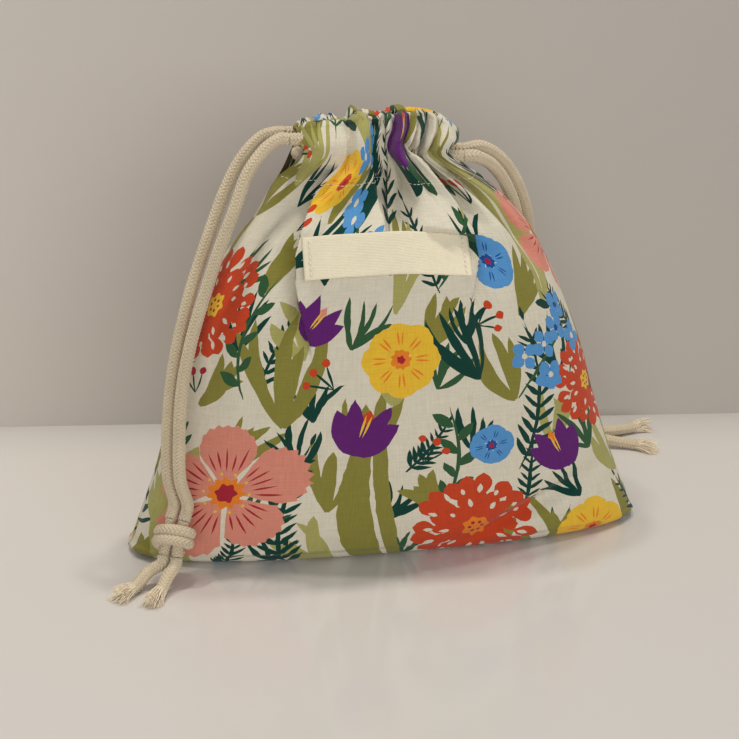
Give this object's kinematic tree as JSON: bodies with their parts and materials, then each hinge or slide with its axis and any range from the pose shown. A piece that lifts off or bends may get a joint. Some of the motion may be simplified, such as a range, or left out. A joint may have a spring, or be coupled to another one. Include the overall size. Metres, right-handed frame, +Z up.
{
  "type": "kinchaku drawstring pouch",
  "caption": "Small cotton drawstring pouch, drawn shut and standing on its folded base, with cords that leave each side of the neck and end in a knot and frayed tails.",
  "frame": {"origin": "centre of the pouch's base on the surface it stands on", "axes": "+X to the viewer's right along the width, +Y towards the back panel, +Z up through the drawn neck"},
  "size_m": [0.2274, 0.1218, 0.1536],
  "materials": {
    "printed_cotton": "matt plain-weave cotton with a printed floral pattern",
    "woven_tape": "matt woven tape",
    "sewing_thread": "satin sewing thread",
    "cord_cotton": "matt braided cotton"
  },
  "bodies": {
    "root": {"front_panel": "printed_cotton", "back_panel": "printed_cotton", "label_tape": "woven_tape", "label_stitch_left": "sewing_thread", "label_stitch_right": "sewing_thread", "front_casing_stitch": "sewing_thread", "back_casing_stitch": "sewing_thread", "left_side_seam_thread": "sewing_thread", "right_side_seam_thread": "sewing_thread", "bottom_seam_thread": "sewing_thread", "left_cord_in_casing": "cord_cotton", "right_cord_in_casing": "cord_cotton", "left_cord_front_run": "cord_cotton", "left_cord_back_run": "cord_cotton", "left_knot": "cord_cotton", "left_tail_front": "cord_cotton", "left_tail_back": "cord_cotton", "right_cord_front_run": "cord_cotton", "right_cord_back_run": "cord_cotton", "right_knot": "cord_cotton", "right_tail_front": "cord_cotton", "right_tail_back": "cord_cotton"}
  },
  "joints": []
}
